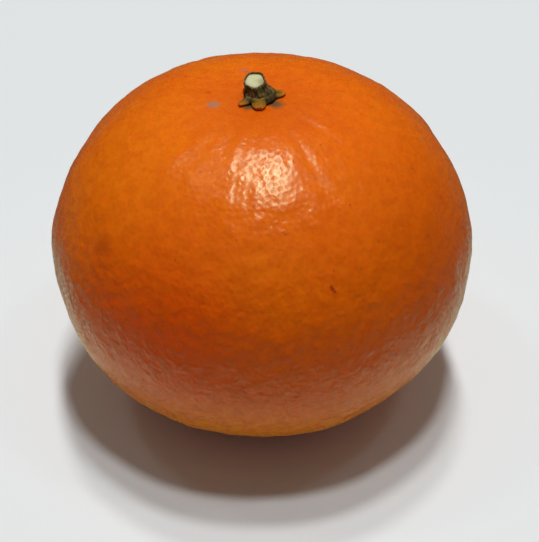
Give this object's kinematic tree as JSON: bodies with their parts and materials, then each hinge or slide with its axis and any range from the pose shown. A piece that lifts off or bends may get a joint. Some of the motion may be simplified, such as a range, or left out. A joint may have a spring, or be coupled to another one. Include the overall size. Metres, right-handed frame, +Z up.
{
  "type": "mandarin",
  "caption": "Whole mandarin fruit with pored rind, sunken stem end, dry lobed calyx and a short cut stem stub, resting on a small flat spot.",
  "frame": {"origin": "on the surface that the fruit rests on, under the middle of its width", "axes": "+Z up along the core, through the stem end; -Y towards the side that the picture shows"},
  "size_m": [0.0704, 0.0696, 0.061],
  "materials": {
    "rind": "deep orange citrus rind, satin and waxy with a soft broken highlight, finely pored, with small brown specks and a grey scar by the stem",
    "calyx": "dry olive-brown calyx, matt, with ochre sepal tips and dark hollows between them",
    "bark": "dull grey-brown young bark with shallow ribs",
    "cut_wood": "pale greenish-white cut wood, matt"
  },
  "bodies": {
    "root": {"fruit": "rind", "calyx": "calyx", "stem": "bark", "cut_wood": "cut_wood"}
  },
  "joints": []
}
